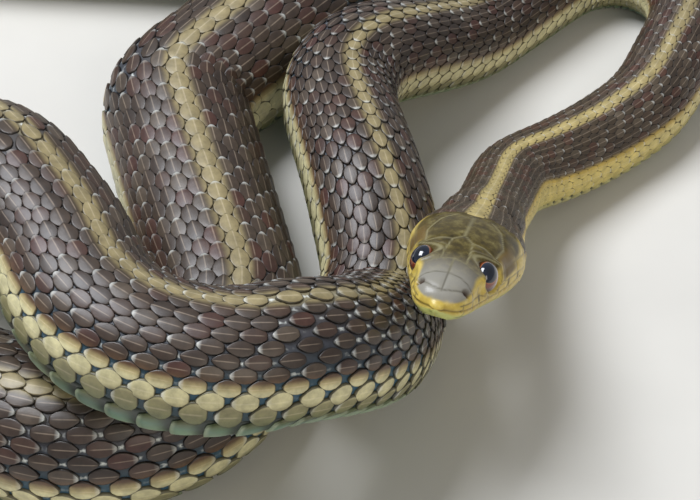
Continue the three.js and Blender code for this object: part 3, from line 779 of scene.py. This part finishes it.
def stretchedSkinFinish():
    # Bare skin between the scales: thin, matt and bluish where it is stretched, with white flecks.
    finish, tree, shader = newFinish("stretchedSkin")
    around, place, count = [addNode(tree, "ShaderNodeAttribute", {"attribute_name": name}, {}, "Fac")
                            for name in ("around", "place", "count")]
    colour, part = stripes(tree, around, place, "skin")
    # how far off the nearest row of scales, and off the gap between two scales of that row
    away = addNode(tree, "ShaderNodeMath", {"operation": "ABSOLUTE"}, {0: around}, 0)
    row = addNode(tree, "ShaderNodeMath", {"operation": "DIVIDE"}, {0: away, 1: skinFinish["rowDegrees"]}, 0)
    nearRow = addNode(tree, "ShaderNodeMath", {"operation": "ROUND"}, {0: row}, 0)
    offRow = addNode(tree, "ShaderNodeMath", {"operation": "SUBTRACT"}, {0: row, 1: nearRow}, 0)
    offRow = addNode(tree, "ShaderNodeMath", {"operation": "ABSOLUTE"}, {0: offRow}, 0)
    phase = addNode(tree, "ShaderNodeMath", {"operation": "MULTIPLY_ADD"}, {0: nearRow, 1: 0.5, 2: count}, 0)
    phase = addNode(tree, "ShaderNodeMath", {"operation": "FRACT"}, {0: phase}, 0)
    fromEnd = addNode(tree, "ShaderNodeMath", {"operation": "SUBTRACT"}, {0: phase, 1: 0.5}, 0)
    fromEnd = addNode(tree, "ShaderNodeMath", {"operation": "ABSOLUTE"}, {0: fromEnd}, 0)
    # uneven outlines, so that no two flecks match
    where = addNode(tree, "ShaderNodeTexCoord", {}, {}, "Object")
    warp = addNode(tree, "ShaderNodeTexNoise", {}, {
        "Vector": where, "Scale": skinFinish["warpPerMm"] / mm, "Detail": 3.0}, "Fac")
    warp = addNode(tree, "ShaderNodeMath", {"operation": "MULTIPLY_ADD"}, {0: warp, 1: 0.5, 2: -0.25}, 0)
    fromEnd = addNode(tree, "ShaderNodeMath", {"operation": "ADD"}, {0: fromEnd, 1: warp}, 0)
    offRow = addNode(tree, "ShaderNodeMath", {"operation": "SUBTRACT"}, {0: offRow, 1: warp}, 0)
    inLine = addNode(tree, "ShaderNodeMapRange", eased, {
        "Value": fromEnd, "From Min": 0.03, "From Max": 0.15, "To Min": 1.0, "To Max": 0.0}, "Result")
    inRow = addNode(tree, "ShaderNodeMapRange", eased, {
        "Value": offRow, "From Min": 0.03, "From Max": 0.2, "To Min": 1.0, "To Max": 0.0}, "Result")
    # only in some patches, and only on the back and upper flanks
    patches = addNode(tree, "ShaderNodeTexNoise", {}, {
        "Vector": where, "Scale": skinFinish["patchesPerMm"] / mm, "Detail": 2.0}, "Fac")
    some = addNode(tree, "ShaderNodeMapRange", eased, {
        "Value": patches, "From Min": 0.44, "From Max": 0.56}, "Result")
    sides = addNode(tree, "ShaderNodeValToRGB", {
        "stops": [(0, 1), (66 / 180, 1), (80 / 180, 0.25), (110 / 180, 0)]}, {"Fac": part}, "Color")
    fleck = inLine
    for share in (inRow, some, sides, skinFinish["fleckShare"]):
        fleck = addNode(tree, "ShaderNodeMath", {"operation": "MULTIPLY"}, {0: fleck, 1: share}, 0)
    colour = addNode(tree, "ShaderNodeMix", colourMix, {
        "Factor": fleck, "A": colour, "B": toLinear(skinFinish["fleck"])}, "Result")
    tree.links.new(colour, shader.inputs["Base Color"])
    shader.inputs["Roughness"].default_value = skinFinish["roughness"]
    wrinkle = addNode(tree, "ShaderNodeTexNoise", {}, {
        "Vector": where, "Scale": skinFinish["wrinklesPerMm"] / mm, "Detail": 3.0}, "Fac")
    bump = addNode(tree, "ShaderNodeBump", {}, {
        "Height": wrinkle, "Strength": 0.5, "Distance": skinFinish["wrinkleDepthMm"] * mm}, "Normal")
    tree.links.new(bump, shader.inputs["Normal"])
    return finish


headFinish = {
    "crown": [(0.32, "332b12"), (0.5, "50441c"), (0.66, "73683a"), (0.78, "9a9064")],
    "lip": [(0.25, "b89a40"), (0.55, "d2b95a"), (0.8, "e2d08a")],
    # the grey here is a painted sky reflection on the snout plates
    "snoutSkyReflection": "98958c", "snoutReflectionShare": 0.85, "chin": "c4c878", "temple": "6b5526",
    "seamTop": "97906c", "seamSide": "6e5f33", "seamSnout": "3f3c36", "seamShare": 0.75,
    # the nostril colour is painted shade inside the nostril
    "bar": "1b150e", "mouthLine": "4a3a20", "nostril": "38200f",
    "roughness": 0.3, "ior": 1.42, "cloudPerMm": 0.8, "finePerMm": 1.6, "fineDepthMm": 0.1,
}


def headPlateFinish():
    # Large smooth head plates: glossy keratin, olive on the crown, a painted grey sky reflection on the snout,
    # yellow on the lips.
    finish, tree, shader = newFinish("headPlates")
    get = {}
    for key in ("seam", "crownward", "nostril", "mouth", "bar", "temple", "place", "around"):
        get[key] = addNode(tree, "ShaderNodeAttribute", {"attribute_name": key}, {}, "Fac")
    where = addNode(tree, "ShaderNodeTexCoord", {}, {}, "Object")
    cloud = addNode(tree, "ShaderNodeTexNoise", {}, {
        "Vector": where, "Scale": headFinish["cloudPerMm"] / mm, "Detail": 5.0, "Roughness": 0.7}, "Fac")
    crown = addNode(tree, "ShaderNodeValToRGB", {"stops": headFinish["crown"]}, {"Fac": cloud}, "Color")
    side = addNode(tree, "ShaderNodeValToRGB", {"stops": headFinish["lip"]}, {"Fac": cloud}, "Color")
    # painted reflection: grey sky reflection over the snout plates, fading out towards the eyes
    front = addNode(tree, "ShaderNodeMapRange", eased, {
        "Value": get["place"], "From Min": 2.5, "From Max": 8.5,
        "To Min": headFinish["snoutReflectionShare"], "To Max": 0.0}, "Result")
    under = addNode(tree, "ShaderNodeMath", {"operation": "ABSOLUTE"}, {0: get["around"]}, 0)
    chin = addNode(tree, "ShaderNodeMapRange", eased, {
        "Value": under, "From Min": 96.0, "From Max": 125.0}, "Result")
    top = addNode(tree, "ShaderNodeMix", colourMix, {
        "Factor": front, "A": crown, "B": toLinear(headFinish["snoutSkyReflection"])}, "Result")
    colour = addNode(tree, "ShaderNodeMix", colourMix, {"Factor": get["crownward"], "A": side, "B": top}, "Result")
    for amount, tint in ((chin, "chin"), (get["temple"], "temple")):
        colour = addNode(tree, "ShaderNodeMix", colourMix, {
            "Factor": amount, "A": colour, "B": toLinear(headFinish[tint])}, "Result")
    # seams between plates, dark on the snout and pale on the crown
    seamTint = addNode(tree, "ShaderNodeMix", colourMix, {
        "Factor": get["crownward"], "A": toLinear(headFinish["seamSide"]),
        "B": toLinear(headFinish["seamTop"])}, "Result")
    seamTint = addNode(tree, "ShaderNodeMix", colourMix, {
        "Factor": front, "A": seamTint, "B": toLinear(headFinish["seamSnout"])}, "Result")
    strength = addNode(tree, "ShaderNodeMath", {"operation": "MULTIPLY"}, {
        0: get["seam"], 1: headFinish["seamShare"]}, 0)
    colour = addNode(tree, "ShaderNodeMix", colourMix, {"Factor": strength, "A": colour, "B": seamTint}, "Result")
    # the bars and mouth line are marks of the snake; the nostril's dark brown is painted shade inside its hole
    for key, tint, share in (("bar", "bar", 0.95), ("mouth", "mouthLine", 0.6), ("nostril", "nostril", 0.9)):
        amount = addNode(tree, "ShaderNodeMath", {"operation": "MULTIPLY"}, {0: get[key], 1: share}, 0)
        colour = addNode(tree, "ShaderNodeMix", colourMix, {
            "Factor": amount, "A": colour, "B": toLinear(headFinish[tint])}, "Result")
    tree.links.new(colour, shader.inputs["Base Color"])
    shader.inputs["Roughness"].default_value = headFinish["roughness"]
    shader.inputs["IOR"].default_value = headFinish["ior"]
    fine = addNode(tree, "ShaderNodeTexNoise", {}, {
        "Vector": where, "Scale": headFinish["finePerMm"] / mm, "Detail": 3.0}, "Fac")
    bump = addNode(tree, "ShaderNodeBump", {}, {
        "Height": fine, "Strength": 0.12, "Distance": headFinish["fineDepthMm"] * mm}, "Normal")
    tree.links.new(bump, shader.inputs["Normal"])
    return finish


# the hind colour is a painted highlight on each scute's raised hind edge, the dark one a painted shadow under the
# scute before
scuteFinish = {"roughness": 0.38, "ior": 1.55, "hind": "b9c4a4", "scuteShadow": "17211d",
               "cloudPerMm": 0.3, "cloudShare": 0.25}


def scuteKeratinFinish():
    # Broad belly scutes: smooth, thin and pale, green at the sides, with a painted highlight on the raised hind
    # edge and a painted shadow where the scute before overhangs.
    finish, tree, shader = newFinish("bellyScuteKeratin")
    around, place, hind = [addNode(tree, "ShaderNodeAttribute", {"attribute_name": name}, {}, "Fac")
                           for name in ("around", "place", "hind")]
    colour, _ = stripes(tree, around, place, "scales")
    where = addNode(tree, "ShaderNodeTexCoord", {}, {}, "Object")
    cloud = addNode(tree, "ShaderNodeTexNoise", {}, {
        "Vector": where, "Scale": scuteFinish["cloudPerMm"] / mm, "Detail": 4.0}, "Color")
    colour = addNode(tree, "ShaderNodeMix", {**colourMix, "blend_type": "SOFT_LIGHT"}, {
        "Factor": scuteFinish["cloudShare"], "A": colour, "B": cloud}, "Result")
    # painted highlight along the raised hind edge, then painted shadow on the front part that the scute before
    # overhangs
    light = addNode(tree, "ShaderNodeMapRange", eased, {
        "Value": hind, "From Min": 0.86, "From Max": 0.98, "To Min": 0.0, "To Max": 0.5}, "Result")
    shadow = addNode(tree, "ShaderNodeMapRange", eased, {
        "Value": hind, "From Min": 0.22, "From Max": 0.62, "To Min": 0.95, "To Max": 0.0}, "Result")
    for amount, tint in ((light, "hind"), (shadow, "scuteShadow")):
        colour = addNode(tree, "ShaderNodeMix", colourMix, {
            "Factor": amount, "A": colour, "B": toLinear(scuteFinish[tint])}, "Result")
    tree.links.new(colour, shader.inputs["Base Color"])
    shader.inputs["Roughness"].default_value = scuteFinish["roughness"]
    shader.inputs["IOR"].default_value = scuteFinish["ior"]
    return finish


eyeFinish = {
    # from the middle of the pupil outwards, in shares of a right angle
    # the pupil is black with a painted bluish sky reflection towards its edge
    "rings": [(0, "0b0f18"), (0.5, "101b30"), (0.53, "a06a3c"), (0.57, "83391b"), (0.8, "552412"),
              (0.95, "2a140c"), (1, "1a0e09")],
    "flecksPerMm": 3.0, "fleckShare": 0.3, "roughness": 0.12, "coat": 1.0, "coatRoughness": 0.03,
}


def wetEyeFinish():
    # A wet eye under its clear scale: very glossy, with a big round pupil and a thin red-brown iris.
    finish, tree, shader = newFinish("wetEye")
    ring = addNode(tree, "ShaderNodeAttribute", {"attribute_name": "ring"}, {}, "Fac")
    colour = addNode(tree, "ShaderNodeValToRGB", {"stops": eyeFinish["rings"]}, {"Fac": ring}, "Color")
    where = addNode(tree, "ShaderNodeTexCoord", {}, {}, "Object")
    flecks = addNode(tree, "ShaderNodeTexNoise", {}, {
        "Vector": where, "Scale": eyeFinish["flecksPerMm"] / mm, "Detail": 4.0}, "Color")
    colour = addNode(tree, "ShaderNodeMix", {**colourMix, "blend_type": "OVERLAY"}, {
        "Factor": eyeFinish["fleckShare"], "A": colour, "B": flecks}, "Result")
    tree.links.new(colour, shader.inputs["Base Color"])
    shader.inputs["Roughness"].default_value = eyeFinish["roughness"]
    shader.inputs["Coat Weight"].default_value = eyeFinish["coat"]
    shader.inputs["Coat Roughness"].default_value = eyeFinish["coatRoughness"]
    return finish


keratin, bareSkin, plateKeratin = keratinFinish(), stretchedSkinFinish(), headPlateFinish()
scuteKeratin, wetEye = scuteKeratinFinish(), wetEyeFinish()
skinPiece.data.materials.append(plateKeratin)
skinPiece.data.materials.append(bareSkin)
print("finishes made")


def buildCoat():
    shape = buildScale()
    tree = coatTree()
    places, around, pitch, rows = scalePoints()
    pieces = []
    order = np.sort(places)
    count = math.ceil(len(order) / coat["mostInPiece"])
    cuts = [0] + [order[len(order) * k // count] for k in range(1, count)] + [body["totalLength"]]
    for index, (low, high) in enumerate(zip(cuts, cuts[1:])):
        inside = (places >= low) & (places < high)
        cloud = scaleCloud(f"scalePoints{index}", places[inside], around[inside], pitch[inside], rows[inside])
        grow = cloud.modifiers.new("scaleCoat", "NODES")
        grow.node_group = tree
        values = {"Scale": shape, "Width": 1.0, "Length": 1.0, "Wobble": coat["wobble"],
                  "Seed": coat["seed"] + index, "Finish": keratin}
        for item in tree.interface.items_tree:
            if item.item_type == "SOCKET" and item.in_out == "INPUT" and item.name in values:
                grow[item.identifier] = values[item.name]
        graph = bpy.context.evaluated_depsgraph_get()
        mesh = bpy.data.meshes.new_from_object(cloud.evaluated_get(graph), depsgraph=graph)
        bpy.data.objects.remove(cloud)
        mesh.name = f"scales_{index + 1}"
        loopVertex = np.empty(len(mesh.loops), int)
        mesh.loops.foreach_get("vertex_index", loopVertex)
        spot = np.empty(len(mesh.vertices) * 3, np.float32)
        mesh.attributes["spot"].data.foreach_get("vector", spot)
        plate = np.empty(len(mesh.loops) * 2, np.float32)
        mesh.uv_layers["plate"].data.foreach_get("uv", plate)
        uv = spot.reshape(-1, 3)[loopVertex, :2] + (plate.reshape(-1, 2) - 0.5) * 0.0035
        mesh.uv_layers.new(name="OFBake").data.foreach_set("uv", uv.astype(np.float32).ravel())
        obj = bpy.data.objects.new(f"scales_{index + 1}", mesh)
        bpy.context.scene.collection.objects.link(obj)
        pieces.append(obj)
        print("scales", index + 1, int(inside.sum()), "with", len(mesh.polygons), "faces")
    bpy.data.objects.remove(shape)
    return pieces


coatPieces = buildCoat()

# Belly scutes, one across the belly for each ring of scales.
scutes = {"across": 26, "along": 5, "overlap": 0.28, "depth": 0.24, "thick": 0.3, "rise": 0.34,
          "sideStart": 113.0, "narrowing": 0.1, "cornerForward": 0.125}


def buildScutes():
    counts = np.arange(math.ceil(scaleCount(19)), math.floor(scaleCount(body["totalLength"] - 2)))
    n, m = scutes["across"] + 1, scutes["along"] + 1
    points, faces, spots, hindAll, aroundAll, placeAll = [], [], [], [], [], []
    top = np.arange(n * m).reshape(m, n)
    pattern = []
    for r in range(m - 1):
        for i in range(n - 1):
            pattern.append((top[r, i], top[r, i + 1], top[r + 1, i + 1], top[r + 1, i]))
    low = top + n * m
    for r in range(m - 1):
        for i in range(n - 1):
            pattern.append((low[r, i], low[r + 1, i], low[r + 1, i + 1], low[r, i + 1]))
    for i in range(n - 1):
        pattern.append((top[0, i + 1], top[0, i], low[0, i], low[0, i + 1]))
        pattern.append((top[m - 1, i], top[m - 1, i + 1], low[m - 1, i + 1], low[m - 1, i]))
    for r in range(m - 1):
        pattern.append((top[r, 0], top[r + 1, 0], low[r + 1, 0], low[r, 0]))
        pattern.append((top[r + 1, n - 1], top[r, n - 1], low[r, n - 1], low[r + 1, n - 1]))
    pattern = np.array(pattern)
    for count in counts:
        start, stop = placeOfCount(count), placeOfCount(count + 1 + scutes["overlap"])
        along01 = np.linspace(0, 1, m)
        share = np.linspace(-1, 1, n)
        edge = 180 - scutes["sideStart"]
        a = np.repeat(along01[:, None], n, 1)
        s = np.repeat(share[None], m, 0)
        # the ends lean forward up the flank and narrow towards the hind edge
        degrees = 180 + s * edge * (1 - scutes["narrowing"] * a ** 3)
        places = start + (stop - start) * a - scutes["cornerForward"] * (stop - start) * np.abs(s) ** 6
        width = np.interp(places, *np.array(body["widths"]).T)
        size = np.clip(width / 12, 0.1, 1)
        outer = onSkin(places, degrees, (-scutes["depth"] + scutes["rise"] * smooth(a / 0.9)) * size)
        inner = onSkin(places, degrees, (-scutes["depth"] - scutes["thick"]) * size)
        base = len(points) * 2 * n * m
        points.append(np.concatenate([outer.reshape(-1, 3), inner.reshape(-1, 3)]))
        faces.append(pattern + base)
        hindAll.append(np.tile(a.ravel(), 2))
        signed = np.where(degrees > 180, degrees - 360, degrees)
        aroundAll.append(np.tile(signed.ravel(), 2))
        placeAll.append(np.tile(places.ravel(), 2))
        middle = float(placeOfCount(count + 0.5))
        patch = unwrapSpot(np.full(n * m, middle), degrees.ravel())
        patch[:, 0] += (a.ravel() - 0.5) * 0.004
        spots.append(np.tile(patch, (2, 1)))
    points, faces = np.concatenate(points), np.concatenate(faces)
    uv = np.concatenate(spots)[faces.ravel()]
    attributes = {"around": np.concatenate(aroundAll), "place": np.concatenate(placeAll),
                  "hind": np.concatenate(hindAll)}
    obj = makeMesh("belly_scutes", points, faces.tolist(), attributes, {"OFBake": uv})
    obj.data.materials.append(scuteKeratin)
    return obj


scutePiece = buildScutes()
print("belly scutes", len(scutePiece.data.polygons), "faces")


eye = {"sides": 48, "rings": 24, "lookForward": 1.6, "lookUp": 2.1}


def buildEye(name, side):
    # An ellipsoid round its outward axis, with rings numbered from the pupil's middle.
    point, back, left, up = framesAt(np.array([head["eyeBack"]]))
    centre = point[0] + left[0] * side * head["eyeOutward"] + up[0] * head["eyeHeight"] + shift
    outward = left[0] * side - back[0] * 0.1 + up[0] * 0.1
    outward /= np.linalg.norm(outward)
    look = left[0] * side - back[0] * eye["lookForward"] + up[0] * eye["lookUp"]
    look /= np.linalg.norm(look)
    first = np.cross(up[0], outward)
    first /= np.linalg.norm(first)
    second = np.cross(outward, first)
    points, faces, sight = [centre + outward * head["eyeThickness"]], [], [outward]
    for r in range(1, eye["rings"]):
        t = math.pi * r / eye["rings"]
        for i in range(eye["sides"]):
            w = 2 * math.pi * i / eye["sides"]
            sideways = first * math.cos(w) + second * math.sin(w)
            bulge = outward * head["eyeThickness"] * math.cos(t)
            points.append(centre + bulge + sideways * head["eyeRadius"] * math.sin(t))
            sight.append(outward * math.cos(t) + sideways * math.sin(t))
    points.append(centre - outward * head["eyeThickness"])
    sight.append(-outward)
    ring = np.arccos(np.clip(np.array(sight) @ look, -1, 1)) / (math.pi / 2)
    n, end = eye["sides"], len(points) - 1
    for i in range(n):
        j = (i + 1) % n
        faces.append((0, 1 + i, 1 + j))
        for r in range(eye["rings"] - 2):
            a = 1 + r * n
            faces.append((a + i, a + n + i, a + n + j, a + j))
        a = 1 + (eye["rings"] - 2) * n
        faces.append((a + j, a + i, end))
    obj = makeMesh(name, points, faces, {"ring": ring})
    obj.data.materials.append(wetEye)
    return obj


eyePieces = {"eye_left": buildEye("eyeball_left", 1), "eye_right": buildEye("eyeball_right", -1)}
print("eyes made")


# The skin stands for all the solids but the eyes, and each eye stands for its own.
fleshNodes = [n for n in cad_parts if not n.startswith("eye_")]
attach(skinPiece, "root")
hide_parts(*fleshNodes)
for piece in coatPieces + [scutePiece]:
    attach(piece, "root")
for node, piece in eyePieces.items():
    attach(piece, "root")
    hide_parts(node)

# Floor, light and camera, in metres and watts.
studio = {
    "floorSize": 3.0, "floorTones": [(0.3, "d2cfc8"), (0.7, "d9d6cf")],
    "worldColour": "e6ebf2", "worldStrength": 0.32,
    # name, place, size, power, colour
    "panels": [("skyPanel", (-0.35, 0.15, 0.75), 0.45, 8.5, "f4f8ff"),
               ("frontPanel", (0.25, -0.7, 0.5), 0.4, 1.6, "fff4e2")],
    "distance": 0.4, "elevation": 44.0, "viewWidth": 0.08906, "sensorWidth": 36,
}


def buildStudio():
    s = studio["floorSize"] / 2
    floor = makeMesh("floor", np.array([(-s, -s, 0), (s, -s, 0), (s, s, 0), (-s, s, 0)]) / mm, [(0, 1, 2, 3)])
    finish, tree, shader = newFinish("paleMattFloor")
    where = addNode(tree, "ShaderNodeTexCoord").outputs["Object"]
    cloud = addNode(tree, "ShaderNodeTexNoise", {}, {"Vector": where, "Scale": 40.0, "Detail": 4.0}, "Fac")
    tone = addNode(tree, "ShaderNodeValToRGB", {"stops": studio["floorTones"]}, {"Fac": cloud}, "Color")
    tree.links.new(tone, shader.inputs["Base Color"])
    shader.inputs["Roughness"].default_value = 0.8
    floor.data.materials.append(finish)
    world = bpy.data.worlds.new("softRoom")
    bpy.context.scene.world = world
    world.use_nodes = True
    world.node_tree.nodes["Background"].inputs["Color"].default_value = toLinear(studio["worldColour"])
    world.node_tree.nodes["Background"].inputs["Strength"].default_value = studio["worldStrength"]
    for name, place, size, power, colour in studio["panels"]:
        light = bpy.data.lights.new(name, "AREA")
        light.size, light.energy, light.color = size, power, toLinear(colour)[:3]
        lamp = bpy.data.objects.new(name, light)
        lamp.location = place
        lamp.rotation_euler = (Vector((0, -0.03, 0)) - Vector(place)).to_track_quat("-Z", "Y").to_euler()
        bpy.context.scene.collection.objects.link(lamp)
    lens = bpy.data.cameras.new("viewCamera")
    lens.sensor_width = studio["sensorWidth"]
    lens.lens = studio["sensorWidth"] * studio["distance"] / studio["viewWidth"]
    camera = bpy.data.objects.new("viewCamera", lens)
    e = math.radians(studio["elevation"])
    aim = Vector(shift) * mm
    camera.location = aim + Vector((0, -math.cos(e), math.sin(e))) * studio["distance"]
    camera.rotation_euler = (math.pi / 2 - e, 0, 0)
    bpy.context.scene.collection.objects.link(camera)
    bpy.context.scene.camera = camera
    bpy.context.scene.view_settings.view_transform = "Standard"


buildStudio()
print("studio ready")
